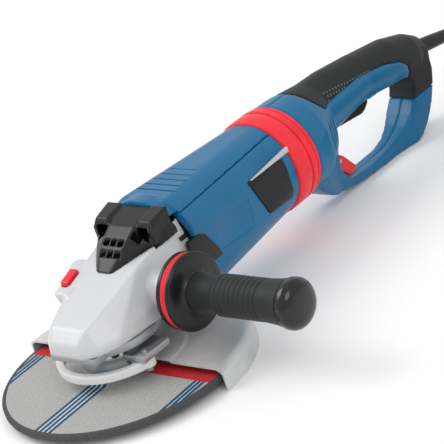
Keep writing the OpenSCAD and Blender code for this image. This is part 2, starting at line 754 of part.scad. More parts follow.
// Centre line of the lead from the sleeve to the coil
cord_route = [
    [562, 0, 64.4], [576, 0, 60.9], [590, -2, 56.3], [603, -8, 50.8], [614, -17, 44.3],
    [622, -29, 37.2], [627, -43, 29.8], [629, -57.5, 22.5], [628.5, -72, 15.8], [625.5, -86.5, 10],
    [620, -100, 5.6], [612.5, -112.5, 2.6], [603.5, -124, 1], [594, -135, 0.5], [584.5, -145.5, 0.5],
    [574.5, -156.5, 0.5], [564.5, -167.5, 0.5]
];
// Centre line from the top of the coil down to the plug
tail_route = [
    [471.5, -197, 26.5], [462, -194.5, 24], [452, -192.5, 20], [442.5, -190, 15.5],
    [432.5, -188, 11.5], [423, -185.5, 9.5], [413, -183.5, 9]
];
coil_centre = [505, -141];
coil_mean = 53;              // radius at the middle of the turns
coil_turns = 3;              // turns side by side in one layer
coil_layers = 4;
plug_at = [369, -173.5];
plug_turn = 167;             // the plug points away from the coil
plug_h = 26;

function unit(v) = v / norm(v);
function along(route, i) = unit(route[min(i + 1, len(route) - 1)] - route[max(i - 1, 0)]);
function ring_at(route, i, sides) =
    let (t = along(route, i), u = unit(cross(t, [0, 0, 1])), v = cross(u, t)) [
        for (k = [0:sides - 1]) let (a = 360 * (k + 0.5) / sides)
            route[i] + cord_d / 2 * (u * cos(a) + v * sin(a))
    ];

// A tube swept along a route
module tube(route, sides = 8) {
    n = len(route) - 1;
    pts = [for (i = [0:n]) each ring_at(route, i, sides)];
    walls = [for (i = [0:n - 1], k = [0:sides - 1]) let (a = i * sides + k, b = i * sides + (k + 1) % sides)
        [a, a + sides, b + sides, b]];
    ends = [[for (k = [0:sides - 1]) k], [for (k = [sides - 1:-1:0]) n * sides + k]];
    polyhedron(points = pts, faces = concat(walls, ends));
}

// The two stretches of lead that aren't coiled
module power_cord() color("#17181a") {
    tube(cord_route);
    tube(tail_route);
}

// The coiled lead as one ring
module cord_coil() color("#17181a") translate([coil_centre[0], coil_centre[1], rest_z])
    rotate_extrude() translate([coil_mean - coil_turns * cord_d / 2, 0])
        square([coil_turns * cord_d, coil_layers * cord_d]);

// Tie round the coil
module cord_tie() color("#2a2a2c") translate([coil_centre[0], coil_centre[1], rest_z]) rotate([0, 0, 200])
    difference() {
        translate([coil_mean - 15.5, -6, 0]) cube([31, 12, coil_layers * cord_d + 1.5]);
        translate([coil_mean - 13.5, -7, -1]) cube([27, 14, coil_layers * cord_d + 1]);
    }

// Moulded two-pin plug lying beside the coil, with its own short sleeve
module plug() color("#17181a") translate([plug_at[0], plug_at[1], rest_z]) rotate([0, 0, plug_turn]) {
    difference() {
        union() {
            cylinder(h = plug_h, r = 18.5);
            translate([-26, -9, 3]) cube([20, 18, plug_h - 6]);
        }
        translate([12, -30, -1]) cube([30, 60, plug_h + 2]);
    }
    translate([-45, 0, plug_h / 2]) rotate([0, 90, 0]) cylinder(h = 22, r1 = 5.5, r2 = 7.5);
    for (s = [-1, 1]) translate([11, s * 9.5, plug_h / 2]) rotate([0, 90, 0]) cylinder(h = 20, r = 2.4);
}

gear_housing();
bearing_flange();
flange_screws();
air_deflector();
baffle_plate();
housing_screws();
spindle_bearings();
front_bearing();
rear_bearing();
motor_housing();
top_cover();
side_pads();
field_core();
field_coils();
brush_bridge();
brush_holders();
carbon_brushes();
brush_springs();
speed_module();
swivel_hub();
swivel_ring();
side_handle_bolt();
side_handle_washer();
side_handle_damper();
side_handle_flange();
side_handle_core();
side_handle_grip();
side_handle_cap();
spindle();
crown_gear();
backing_flange();
grinding_wheel();
clamping_nut();
armature_shaft();
pinion();
pinion_nut();
fan();
armature_core();
armature_windings();
commutator();
guard_shell();
guard_band();
clamp_block();
clamp_screw();
clamp_lever();
lock_button();
lock_pin();
handle_shell_left();
handle_shell_right();
grip_overmould();
handle_screws();
pivot_pins();
switch_body();
strain_relief();
trigger();
release_lever();
power_cord();
cord_coil();
cord_tie();
plug();
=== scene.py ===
import math

import bmesh
import bpy
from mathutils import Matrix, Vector


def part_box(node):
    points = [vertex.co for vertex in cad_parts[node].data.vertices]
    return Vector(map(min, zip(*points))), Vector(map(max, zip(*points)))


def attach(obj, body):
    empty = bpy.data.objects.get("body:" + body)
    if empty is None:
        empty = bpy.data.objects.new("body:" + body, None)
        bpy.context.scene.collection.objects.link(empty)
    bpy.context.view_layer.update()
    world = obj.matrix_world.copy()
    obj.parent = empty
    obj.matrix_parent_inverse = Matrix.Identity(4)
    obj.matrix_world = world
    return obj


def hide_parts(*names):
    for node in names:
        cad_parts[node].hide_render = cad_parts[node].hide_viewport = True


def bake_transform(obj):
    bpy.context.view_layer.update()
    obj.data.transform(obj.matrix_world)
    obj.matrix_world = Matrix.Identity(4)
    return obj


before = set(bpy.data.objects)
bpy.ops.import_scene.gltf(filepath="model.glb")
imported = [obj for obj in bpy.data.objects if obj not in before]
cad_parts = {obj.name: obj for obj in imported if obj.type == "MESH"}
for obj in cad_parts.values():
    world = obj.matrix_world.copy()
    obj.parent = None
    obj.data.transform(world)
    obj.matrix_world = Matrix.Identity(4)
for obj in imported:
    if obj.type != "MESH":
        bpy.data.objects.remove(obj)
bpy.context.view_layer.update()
MM = 0.001


# ---- Camera ----
# A long lens looking down at the gear head from the front left, rolled a little so that the
# motor runs up to the right. Nothing of it belongs to the machine.
bpy.ops.object.select_all(action="DESELECT")
bpy.ops.object.camera_add(location=(-0.98848, -1.26135, 0.80575))
camera = bpy.context.object
camera.rotation_euler = [math.radians(a) for a in (65.259, 17.018, -50.158)]
camera.data.lens = 162.16
camera.data.sensor_width = 36
camera.data.clip_start = 0.1
bpy.context.scene.camera = camera


# ---- Lead ----
# Rubber-sheathed mains lead, 9 mm thick and 4 m long. It leaves the rear handle's sleeve, drops
# to the floor and is wound away in a neat coil, four layers of three turns, held by a strap.
def deselect():
    """Back to object mode with nothing selected"""
    if bpy.context.object and bpy.context.object.mode != "OBJECT":
        bpy.ops.object.mode_set(mode="OBJECT")
    bpy.ops.object.select_all(action="DESELECT")


def linear(code):
    """A colour written as sRGB hex, as the linear numbers that a shader takes"""
    parts = [int(code[i : i + 2], 16) / 255 for i in (1, 3, 5)]
    return [p / 12.92 if p <= 0.04045 else ((p + 0.055) / 1.055) ** 2.4 for p in parts] + [1]


def add(tree, kind, inputs=None, **settings):
    """Adds a shader node; an input is a value, or another node's output to link"""
    made = tree.nodes.new("ShaderNode" + kind)
    for key, value in settings.items():
        setattr(made, key, value)
    for key, value in (inputs or {}).items():
        if isinstance(value, bpy.types.NodeSocket):
            tree.links.new(value, made.inputs[key])
        else:
            made.inputs[key].default_value = value
    return made


def finish_tree(name):
    """A new material with its tree, object coordinates in millimetres and the surface shader"""
    made = bpy.data.materials.new(name)
    made.use_nodes = True
    tree = made.node_tree
    tree.nodes.clear()
    place = add(tree, "TexCoord").outputs["Object"]
    place = add(tree, "Mapping", {"Vector": place, "Scale": (1000, 1000, 1000)}).outputs[0]
    shader = add(tree, "BsdfPrincipled")
    add(tree, "OutputMaterial", {"Surface": shader.outputs[0]})
    return made, tree, place, shader


def soft_rubber(name, code, grain=0.9, sheen=0.25):
    """Vulcanised rubber: dull, a little dusty, with a fine grain that breaks up the highlights"""
    made, tree, place, shader = finish_tree(name)
    dust = add(tree, "TexNoise", {"Vector": place, "Scale": 0.05, "Detail": 4.0}).outputs["Fac"]
    grit = add(tree, "TexNoise", {"Vector": place, "Scale": 1 / grain, "Detail": 2.0}).outputs["Fac"]
    base = linear(code)
    pale = [min(1, c * 1.9 + 0.006) for c in base[:3]] + [1]
    tone = add(tree, "MixRGB", {"Fac": dust, "Color1": base, "Color2": pale}).outputs[0]
    rough = add(tree, "MapRange", {"Value": dust, "To Min": 0.46, "To Max": 0.66}).outputs[0]
    bump = add(tree, "Bump", {"Height": grit, "Strength": 0.35, "Distance": 0.0003}).outputs[0]
    tree.links.new(tone, shader.inputs["Base Color"])
    tree.links.new(rough, shader.inputs["Roughness"])
    tree.links.new(bump, shader.inputs["Normal"])
    shader.inputs["Specular IOR Level"].default_value = 0.32
    shader.inputs["Sheen Weight"].default_value = sheen
    shader.inputs["Sheen Roughness"].default_value = 0.4
    return made


def give(piece, material):
    """The piece's one material"""
    piece.data.materials.clear()
    piece.data.materials.append(material)


def settle(piece, body, slot, material, *nodes, smooth=35):
    """Bakes the place into the mesh, and says what the piece is made of and rides on"""
    deselect()
    piece.select_set(True)
    bpy.context.view_layer.objects.active = piece
    bpy.ops.object.transform_apply(location=True, rotation=True, scale=True)
    for modifier in list(piece.modifiers):
        bpy.ops.object.modifier_apply(modifier=modifier.name)
    bpy.ops.object.shade_smooth_by_angle(angle=math.radians(smooth))
    give(piece, material)
    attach(piece, body)
    if nodes:
        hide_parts(*nodes)


LEAD_MM = 9
LEAD_D = LEAD_MM * MM
free_route = [
    (562, 0, 64.4), (576, 0, 60.9), (590, -2, 56.3), (603, -8, 50.8), (614, -17, 44.3),
    (622, -29, 37.2), (627, -43, 29.8), (629, -57.5, 22.5), (628.5, -72, 15.8), (625.5, -86.5, 10),
    (620, -100, 5.6), (612.5, -112.5, 2.6), (603.5, -124, 1), (594, -135, 0.5), (584.5, -145.5, 0.5),
    (574.5, -156.5, 0.5), (564.5, -167.5, 0.5),
]
tail_route = [
    (482, -199.3, 27.4), (471.5, -197, 26.5), (462, -194.5, 24), (452, -192.5, 20), (442.5, -190, 15.5),
    (432.5, -188, 11.5), (423, -185.5, 9.5), (413, -183.5, 9),
]
COIL_CENTRE = Vector((505, -141, 0.5))
COIL_RADII = (62, 53, 44)
COIL_START = math.radians(-42)
COIL_TURNS = 11.17
STEPS_A_TURN = 18
SIDESTEP_AT, LIFT_AT, STEP_SHARE = 0.667, 0.333, 0.333


def ease(share):
    """From 0 to 1 with a gentle start and stop"""
    share = min(1, max(0, share))
    return 0.5 - 0.5 * math.cos(math.pi * share)


def coil_point(turns):
    """A point on the coil: it steps sideways in the last third of a turn, and up in the middle"""
    def lane(k):
        layer, place = divmod(k, 3)
        return COIL_RADII[place if layer % 2 == 0 else 2 - place], LEAD_MM * layer
    k = int(turns)
    (r0, z0), (r1, z1) = lane(k), lane(k + 1)
    r = r0 + (r1 - r0) * ease((turns - k - SIDESTEP_AT) / STEP_SHARE)
    z = z0 + (z1 - z0) * ease((turns - k - LIFT_AT) / STEP_SHARE)
    a = COIL_START - 2 * math.pi * turns
    return COIL_CENTRE + Vector((r * math.cos(a), r * math.sin(a), z))


def smooth_line(points, steps):
    """A smooth curve through the points, by Catmull and Rom's rule"""
    p = [Vector(q) for q in points]
    p = [2 * p[0] - p[1], *p, 2 * p[-1] - p[-2]]
    line = []
    for a, b, c, d in zip(p, p[1:], p[2:], p[3:]):
        for i in range(steps):
            t = i / steps
            line.append(0.5 * (2 * b + (c - a) * t + (2 * a - 5 * b + 4 * c - d) * t**2
                               + (3 * b - a - 3 * c + d) * t**3))
    return [*line, p[-2]]


coil = [coil_point(i / STEPS_A_TURN) for i in range(int(COIL_TURNS * STEPS_A_TURN) + 1)]
lead_path = [p * MM for p in smooth_line([*free_route, *coil, *tail_route], 3)]
deselect()
bpy.ops.curve.primitive_nurbs_path_add()
lead = bpy.context.object
lead.name = "lead"
lead.data.splines.clear()
line = lead.data.splines.new("POLY")
line.points.add(len(lead_path) - 1)
for point, place in zip(line.points, lead_path):
    point.co = (*place, 1)
lead.data.dimensions = "3D"
lead.data.bevel_depth = LEAD_D / 2
lead.data.bevel_resolution = 3
lead.data.use_fill_caps = True
bpy.ops.object.convert(target="MESH")
lead = bpy.context.object
# Extruded rubber sheath: nearly black, with one low dull highlight along it.
lead_rubber = soft_rubber("rubber_lead_sheath", "#0D0E0F", grain=1.2, sheen=0.08)
bpy.ops.object.shade_smooth()
give(lead, lead_rubber)
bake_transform(lead)
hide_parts("power_cord", "cord_coil")


# Strap round the coil: woven nylon hook tape, 12 mm wide and 1 mm thick, in a loop that is closed
# on itself.
def woven_tape(name, code):
    """Woven nylon tape: two crossing sets of threads 1.2 mm apart, dull with a soft sheen"""
    made, tree, place, shader = finish_tree(name)
    across = add(tree, "TexWave", {"Vector": place, "Scale": 0.26}, bands_direction="X").outputs["Fac"]
    along = add(tree, "TexWave", {"Vector": place, "Scale": 0.26}, bands_direction="Z").outputs["Fac"]
    weave = add(tree, "Math", {0: across, 1: along}, operation="MULTIPLY").outputs[0]
    tone = add(tree, "MixRGB", {"Fac": weave, "Color1": linear(code), "Color2": linear("#3A3A3E")})
    bump = add(tree, "Bump", {"Height": weave, "Strength": 0.6, "Distance": 0.0004}).outputs[0]
    tree.links.new(tone.outputs[0], shader.inputs["Base Color"])
    tree.links.new(bump, shader.inputs["Normal"])
    shader.inputs["Roughness"].default_value = 0.85
    shader.inputs["Sheen Weight"].default_value = 0.4
    return made


tie_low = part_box("cord_tie")[0]
TIE_TURN = math.radians(200)
tie_middle = (COIL_CENTRE + COIL_RADII[1] * Vector((math.cos(TIE_TURN), math.sin(TIE_TURN), 0))) * MM
tie_middle.z = tie_low.z + 19.2 * MM
deselect()
bpy.ops.mesh.primitive_cube_add(size=1, location=tie_middle, rotation=(0, 0, TIE_TURN))
strap = bpy.context.object
strap.name = "lead_strap"
strap.scale = (29.4 * MM, 12 * MM, 37 * MM)
bpy.ops.object.transform_apply(location=False, rotation=False, scale=True)
bpy.ops.object.mode_set(mode="EDIT")
bpy.ops.mesh.select_mode(type="FACE")
mesh = bmesh.from_edit_mesh(strap.data)
for face in mesh.faces:
    face.select_set(abs(face.normal.y) > 0.9)
bpy.ops.mesh.delete(type="FACE")
bpy.ops.mesh.select_all(action="SELECT")
bpy.ops.mesh.select_mode(type="EDGE")
mesh = bmesh.from_edit_mesh(strap.data)
for edge in mesh.edges:
    edge.select_set(not edge.is_boundary)
bpy.ops.mesh.bevel(offset=5 * MM, segments=5, affect="EDGES")
bpy.ops.object.mode_set(mode="OBJECT")
wall = strap.modifiers.new("Wall", "SOLIDIFY")
wall.thickness = 1 * MM
wall.offset = 0
settle(strap, "machine", "tie_fabric", woven_tape("woven_hook_tape", "#1C1C1F"), "cord_tie")


# Plug: a two-pin plug moulded in the same rubber round the end of the lead, waisted for the
# fingers, with a ribbed neck.
PLUG_AT = Vector((369, -173.5, 9)) * MM
PLUG_TURN = math.radians(167)
deselect()
bpy.ops.mesh.primitive_cube_add(size=1, location=PLUG_AT, rotation=(0, 0, PLUG_TURN))
lead_plug = bpy.context.object
lead_plug.name = "lead_plug"
lead_plug.scale = (30 * MM, 34 * MM, 25 * MM)
bpy.ops.object.transform_apply(location=False, rotation=False, scale=True)


def grow_back(piece, steps):
    """Extrudes the face that looks back, in steps of length, width and height"""
    bpy.ops.object.mode_set(mode="EDIT")
    bpy.ops.mesh.select_mode(type="FACE")
    mesh = bmesh.from_edit_mesh(piece.data)
    for face in mesh.faces:
        face.select_set(face.normal.x < -0.9)
    back = piece.matrix_world.to_3x3() @ Vector((-1, 0, 0))
    for length, scale_y, scale_z in steps:
        bpy.ops.mesh.extrude_region_move(TRANSFORM_OT_translate={"value": back * length * MM})
        mesh = bmesh.from_edit_mesh(piece.data)
        chosen = [v for v in mesh.verts if v.select]
        middle = sum((v.co for v in chosen), Vector()) / len(chosen)
        for v in chosen:
            v.co.y = middle.y + (v.co.y - middle.y) * scale_y
            v.co.z = middle.z + (v.co.z - middle.z) * scale_z
        bmesh.update_edit_mesh(piece.data)
    bpy.ops.object.mode_set(mode="OBJECT")


grow_back(lead_plug, [(6, 0.72, 0.9), (9, 0.62, 0.75), (2, 0.86, 0.86), (2, 1.14, 1.14), (2, 0.86, 0.86),
                      (2, 1.1, 1.1), (2, 0.85, 0.85), (6, 0.9, 0.9)])
soft = lead_plug.modifiers.new("Soft", "BEVEL")
soft.width = 2.2 * MM
soft.segments = 3
soft.limit_method = "ANGLE"
soft.use_clamp_overlap = True
settle(lead_plug, "machine", "plug_plastic", lead_rubber, "plug")


def turned(name, outline, centre, axis, steps=64, angle=360):
    """A turned piece: a point is extruded along the outline, (along, radius), and spun"""
    centre, axis = Vector(centre) * MM, Vector(axis).normalized()
    side = axis.orthogonal().normalized() if abs(axis.z) < 0.9 else Vector((0, -1, 0))
    places = [centre + (axis * along + side * radius) * MM for along, radius in outline]
    deselect()
    bpy.ops.mesh.primitive_plane_add(size=MM)
    made = bpy.context.object
    made.name = name
    bpy.ops.object.mode_set(mode="EDIT")
    bpy.ops.mesh.select_mode(type="VERT")
    bpy.ops.mesh.select_all(action="SELECT")
    bpy.ops.mesh.merge(type="CENTER")
    bpy.ops.transform.translate(value=places[0])
    for a, b in zip(places, places[1:]):
        bpy.ops.mesh.extrude_region_move(TRANSFORM_OT_translate={"value": b - a})
    bpy.ops.mesh.select_all(action="SELECT")
    bpy.ops.mesh.spin(steps=steps, angle=math.radians(angle), center=centre, axis=axis)
    bpy.ops.mesh.select_all(action="SELECT")
    bpy.ops.mesh.remove_doubles(threshold=1e-5)
    if abs(angle) < 360:
        bpy.ops.mesh.select_all(action="DESELECT")
        bpy.ops.mesh.select_non_manifold()
        bpy.ops.mesh.edge_face_add()
        bpy.ops.mesh.select_all(action="SELECT")
    bpy.ops.mesh.normals_make_consistent(inside=False)
    bpy.ops.object.mode_set(mode="OBJECT")
    return made


def bevelled(piece, width, segments=2, angle=35):
    """Rounds the piece's sharp edges"""
    rounding = piece.modifiers.new("Rounding", "BEVEL")
    rounding.width = width * MM
    rounding.segments = segments
    rounding.limit_method = "ANGLE"
    rounding.angle_limit = math.radians(angle)
    rounding.use_clamp_overlap = True
    return piece


def bright_metal(name, code, roughness=0.28, streak=(0.02, 0.02, 1.2)):
    """Machined or plated metal: fine tool marks along one way, and soft patches in the gloss"""
    made, tree, place, shader = finish_tree(name)
    drawn = add(tree, "Mapping", {"Vector": place, "Scale": streak}).outputs[0]
    marks = add(tree, "TexNoise", {"Vector": drawn, "Scale": 2.5, "Detail": 3.0}).outputs["Fac"]
    patches = add(tree, "TexNoise", {"Vector": place, "Scale": 0.06, "Detail": 2.0}).outputs["Fac"]
    base = linear(code)
    dark = [c * 0.86 for c in base[:3]] + [1]
    tone = add(tree, "MixRGB", {"Fac": patches, "Color1": base, "Color2": dark}).outputs[0]
    rough = add(tree, "MapRange", {"Value": marks, "To Min": roughness * 0.8, "To Max": roughness * 1.3})
    bump = add(tree, "Bump", {"Height": marks, "Strength": 0.12, "Distance": 0.0002}).outputs[0]
    tree.links.new(tone, shader.inputs["Base Color"])
    tree.links.new(rough.outputs[0], shader.inputs["Roughness"])
    tree.links.new(bump, shader.inputs["Normal"])
    shader.inputs["Metallic"].default_value = 1.0
    return made


# Nickel plating on brass: bright, a little warm.
pin_nickel = bright_metal("nickel_plated_brass_pins", "#C9C6BE")
ahead = Vector((math.cos(PLUG_TURN), math.sin(PLUG_TURN), 0))
for side in (-1, 1):
    foot = PLUG_AT / MM + ahead * 14 + side * 9.5 * Vector((-ahead.y, ahead.x, 0))
    pin = turned(f"plug_pin_{'left' if side > 0 else 'right'}",
                 [(0, 0), (0, 2.4), (15.5, 2.4), (17, 1.2), (17, 0)], foot, ahead, 20)
    settle(pin, "machine", "plug_plastic", pin_nickel)


# ---- Floor and light ----
# A plain pale floor under a white room, with one broad soft lamp high on the left for the long
# highlights and a weaker one on the right.
FLOOR_Z = -4 * MM
deselect()
bpy.ops.mesh.primitive_plane_add(size=30, location=(0, 0, FLOOR_Z))
floor = bpy.context.object
floor.name = "floor"
floor_finish, tree, place, shader = finish_tree("matt_white_floor")
mottle = add(tree, "TexNoise", {"Vector": place, "Scale": 0.01, "Detail": 2.0}).outputs["Fac"]
tone = add(tree, "MixRGB", {"Fac": mottle, "Color1": linear("#F6F6F6"), "Color2": linear("#F9F9F9")})
tree.links.new(tone.outputs[0], shader.inputs["Base Color"])
shader.inputs["Roughness"].default_value = 0.9
give(floor, floor_finish)

world = bpy.data.worlds.new("white_room")
bpy.context.scene.world = world
world.use_nodes = True
world.node_tree.nodes["Background"].inputs["Color"].default_value = (1, 1, 1, 1)
world.node_tree.nodes["Background"].inputs["Strength"].default_value = 0.85
bpy.context.scene.view_settings.view_transform = "Standard"


def lamp(place, aim, size, power):
    """A square soft lamp, turned to face its aim"""
    deselect()
    bpy.ops.object.light_add(type="AREA", location=place)
    made = bpy.context.object
    made.data.size = size
    made.data.energy = power
    made.rotation_euler = (Vector(aim) - Vector(place)).to_track_quat("-Z", "Y").to_euler()


lamp((-0.5, 1.2, 1.6), (0.15, 0, 0.05), 1.2, 16)
lamp((-0.4, -1.6, 1.3), (0.15, 0, 0.05), 0.9, 7)


# ---- Gear housing ----
# Die-cast aluminium gear case with soft draughted edges, sprayed satin light grey. It carries the
# spindle, the spindle lock on its right shoulder and a threaded boss for the side handle each side.
def from_cad(name, *nodes):
    """A joined copy of the CAD's pieces, with its doubles merged and its flat faces made whole"""
    deselect()
    copies = []
    for node in nodes:
        copy = bpy.data.objects.new(name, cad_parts[node].data.copy())
        bpy.context.collection.objects.link(copy)
        copy.select_set(True)
        copies.append(copy)
    bpy.context.view_layer.objects.active = copies[0]
    if len(copies) > 1:
        bpy.ops.object.join()
    bpy.ops.mesh.customdata_custom_splitnormals_clear()
    bpy.ops.object.mode_set(mode="EDIT")
    bpy.ops.mesh.select_all(action="SELECT")
    bpy.ops.mesh.remove_doubles(threshold=1e-5)
    bpy.ops.mesh.dissolve_limited(angle_limit=math.radians(1))
    bpy.ops.object.mode_set(mode="OBJECT")
    return copies[0]


def rounded(piece, skin_size, passes):
    """Melts the sharp edges, as a casting or a moulding has them: a fine even skin, smoothed"""
    skin = piece.modifiers.new("Skin", "REMESH")
    skin.mode = "VOXEL"
    skin.voxel_size = skin_size * MM * 1
    melt = piece.modifiers.new("Melt", "SMOOTH")
    melt.factor = 0.5
    melt.iterations = passes
    deselect()
    piece.select_set(True)
    bpy.context.view_layer.objects.active = piece
    bpy.ops.object.modifier_apply(modifier="Skin")
    bpy.ops.object.modifier_apply(modifier="Melt")
    return piece


def sprayed_casting(name, code, roughness=0.34):
    """Paint sprayed on a casting: orange peel 3 mm apart, and a clear soft gloss over it"""
    made, tree, place, shader = finish_tree(name)
    peel = add(tree, "TexNoise", {"Vector": place, "Scale": 0.33, "Detail": 2.0}).outputs["Fac"]
    cloud = add(tree, "TexNoise", {"Vector": place, "Scale": 0.03, "Detail": 3.0}).outputs["Fac"]
    base = linear(code)
    dull = [c * 0.9 for c in base[:3]] + [1]
    tone = add(tree, "MixRGB", {"Fac": cloud, "Color1": base, "Color2": dull}).outputs[0]
    rough = add(tree, "MapRange", {"Value": cloud, "To Min": roughness * 0.85, "To Max": roughness * 1.2})
    bump = add(tree, "Bump", {"Height": peel, "Strength": 0.12, "Distance": 0.0005}).outputs[0]
    tree.links.new(tone, shader.inputs["Base Color"])
    tree.links.new(rough.outputs[0], shader.inputs["Roughness"])
    tree.links.new(bump, shader.inputs["Normal"])
    shader.inputs["Coat Weight"].default_value = 0.35
    shader.inputs["Coat Roughness"].default_value = 0.18
    return made


gear_case = rounded(from_cad("gear_case", "gear_housing"), 1.4, 10)
# Satin spray paint: pale grey, slightly rippled, with a soft clear gloss.
head_paint = sprayed_casting("sprayed_die_casting", "#CBCCCE")
settle(gear_case, "machine", "cast_housing", head_paint, "gear_housing")


# ---- Bearing flange, its screws and the bearings ----
# Bare die-cast flange under the gear case, held by four black screws. Its neck carries the guard,
# and ground steel ball bearings sit in it, behind the pinion and at the rear of the armature.
def finish(material, *nodes):
    """The CAD's own pieces keep their shape and get their real finish"""
    for node in nodes:
        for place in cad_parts[node].material_slots:
            place.material = material


def bare_casting(name, code):
    """Blasted aluminium: a fine even pitting 0.6 mm wide that scatters the light"""
    made, tree, place, shader = finish_tree(name)
    pits = add(tree, "TexNoise", {"Vector": place, "Scale": 1.6, "Detail": 3.0}).outputs["Fac"]
    cloud = add(tree, "TexNoise", {"Vector": place, "Scale": 0.05, "Detail": 3.0}).outputs["Fac"]
    base = linear(code)
    dull = [c * 0.78 for c in base[:3]] + [1]
    tone = add(tree, "MixRGB", {"Fac": cloud, "Color1": base, "Color2": dull}).outputs[0]
    bump = add(tree, "Bump", {"Height": pits, "Strength": 0.3, "Distance": 0.0003}).outputs[0]
    tree.links.new(tone, shader.inputs["Base Color"])
    tree.links.new(bump, shader.inputs["Normal"])
    shader.inputs["Roughness"].default_value = 0.46
    shader.inputs["Metallic"].default_value = 0.8
    return made


flange_plate = bevelled(from_cad("neck_flange", "bearing_flange"), 0.6, 2, 40)
# Blasted aluminium: mid grey metal without a clear reflection.
blasted = bare_casting("blasted_aluminium", "#B4B6B8")
settle(flange_plate, "machine", "bare_casting", blasted, "bearing_flange")
# Black oxide on steel: dark metal with a broad dull glint.
screw_black = bright_metal("black_oxide_screws", "#3A3B3D", 0.38)
finish(screw_black, "flange_screws", "housing_screws", "handle_screws", "pinion_nut")
# Ground bearing steel: the brightest metal here, near a mirror.
finish(bright_metal("ground_bearing_steel", "#BEC0C2", 0.2),
       "spindle_bearings", "front_bearing", "rear_bearing")


# ---- Spindle, crown gear and pinion ----
# Hardened and ground spindle with the crown gear pressed on it. The pinion on the armature's shaft
# drives it, 41 teeth to 11.
# Ground steel is bright. Hardened and oiled gear steel is darker and duller.
finish(bright_metal("ground_spindle_steel", "#B3B5B8", 0.24), "spindle", "armature_shaft")
finish(bright_metal("hardened_gear_steel", "#85888C", 0.33), "crown_gear", "pinion")


# ---- Air deflector ----
# Black glass-filled nylon cover on the shoulder of the head: two horns with a valley between them,
# and slots through which the fan blows out. It is moulded in one piece.
def moulded_plastic(name, code, roughness=0.42, grain=0.8, coat=0.0):
    """Moulded nylon or ABS: a spark-eroded grain, and flow marks that change the gloss"""
    made, tree, place, shader = finish_tree(name)
    flow = add(tree, "TexNoise", {"Vector": place, "Scale": 0.03, "Detail": 3.0}).outputs["Fac"]
    grit = add(tree, "TexNoise", {"Vector": place, "Scale": 1 / grain, "Detail": 2.0}).outputs["Fac"]
    base = linear(code)
    pale = [min(1, c * 1.16 + 0.002) for c in base[:3]] + [1]
    tone = add(tree, "MixRGB", {"Fac": flow, "Color1": base, "Color2": pale}).outputs[0]
    rough = add(tree, "MapRange", {"Value": flow, "To Min": roughness * 0.82, "To Max": roughness * 1.2})
    bump = add(tree, "Bump", {"Height": grit, "Strength": 0.16, "Distance": 0.0002}).outputs[0]
    tree.links.new(tone, shader.inputs["Base Color"])
    tree.links.new(rough.outputs[0], shader.inputs["Roughness"])
    tree.links.new(bump, shader.inputs["Normal"])
    shader.inputs["Specular IOR Level"].default_value = 0.32
    shader.inputs["Coat Weight"].default_value = coat
    shader.inputs["Coat Roughness"].default_value = 0.12
    return made


def cut_away(piece, low, high, soft=1.0, turn=(0, 0, 0)):
    """Cuts a slot with rounded edges out of the piece, between two corners in millimetres"""
    low, high = Vector(low) * MM, Vector(high) * MM
    deselect()
    bpy.ops.mesh.primitive_cube_add(size=1, location=(low + high) / 2, rotation=turn)
    cutter = bpy.context.object
    cutter.scale = high - low
    bpy.ops.object.transform_apply(location=True, rotation=True, scale=True)
    bpy.ops.object.mode_set(mode="EDIT")
    bpy.ops.mesh.select_all(action="SELECT")
    bpy.ops.mesh.bevel(offset=soft * MM, segments=2, affect="EDGES")
    bpy.ops.object.mode_set(mode="OBJECT")
    slot = piece.modifiers.new("Slot", "BOOLEAN")
    slot.object = cutter
    slot.operation = "DIFFERENCE"
    slot.solver = "EXACT"
    deselect()
    piece.select_set(True)
    bpy.context.view_layer.objects.active = piece
    bpy.ops.object.modifier_apply(modifier="Slot")
    bpy.data.objects.remove(cutter, do_unlink=True)


vent_cover = rounded(from_cad("vent_cover", "air_deflector"), 1.0, 6)
# Black nylon from a fairly smooth mould: a fine grain under a low gloss.
black_nylon = moulded_plastic("black_nylon_moulding", "#0B0C0D", 0.3, 1.0, coat=0.12)
settle(vent_cover, "machine", "black_plastic", black_nylon, "air_deflector")
finish(black_nylon, "baffle_plate")


# ---- Motor: field, armature, commutator, brushes and fan ----
# Stacked electrical steel with enamelled copper windings, a copper commutator, and carbon brushes
# in brass tubes. The fan is moulded nylon, and a potted module softens the start.
def stacked_steel(name, code):
    """Stamped sheets half a millimetre thick, drawn 1 mm apart so that the stack can be seen"""
    made, tree, place, shader = finish_tree(name)
    sheets = add(tree, "TexWave", {"Vector": place, "Scale": 0.314}, bands_direction="X").outputs["Fac"]
    rust = add(tree, "TexNoise", {"Vector": place, "Scale": 0.08, "Detail": 4.0}).outputs["Fac"]
    tone = add(tree, "MixRGB", {"Fac": rust, "Color1": linear(code), "Color2": linear("#6E6259")})
    bump = add(tree, "Bump", {"Height": sheets, "Strength": 0.5, "Distance": 0.0003}).outputs[0]
    tree.links.new(tone.outputs[0], shader.inputs["Base Color"])
    tree.links.new(bump, shader.inputs["Normal"])
    shader.inputs["Roughness"].default_value = 0.45
    shader.inputs["Metallic"].default_value = 0.9
    return made


def wound_copper(name, code):
    """Enamelled wire 0.9 mm thick laid side by side, under a glossy amber varnish"""
    made, tree, place, shader = finish_tree(name)
    wires = add(tree, "TexWave", {"Vector": place, "Scale": 0.39, "Distortion": 0.4},
                bands_direction="DIAGONAL").outputs["Fac"]
    tone = add(tree, "MixRGB", {"Fac": wires, "Color1": linear("#5E2C12"), "Color2": linear(code)})
    bump = add(tree, "Bump", {"Height": wires, "Strength": 0.7, "Distance": 0.0004}).outputs[0]
    tree.links.new(tone.outputs[0], shader.inputs["Base Color"])
    tree.links.new(bump, shader.inputs["Normal"])
    shader.inputs["Roughness"].default_value = 0.3
    shader.inputs["Metallic"].default_value = 0.7
    shader.inputs["Coat Weight"].default_value = 0.5
    return made


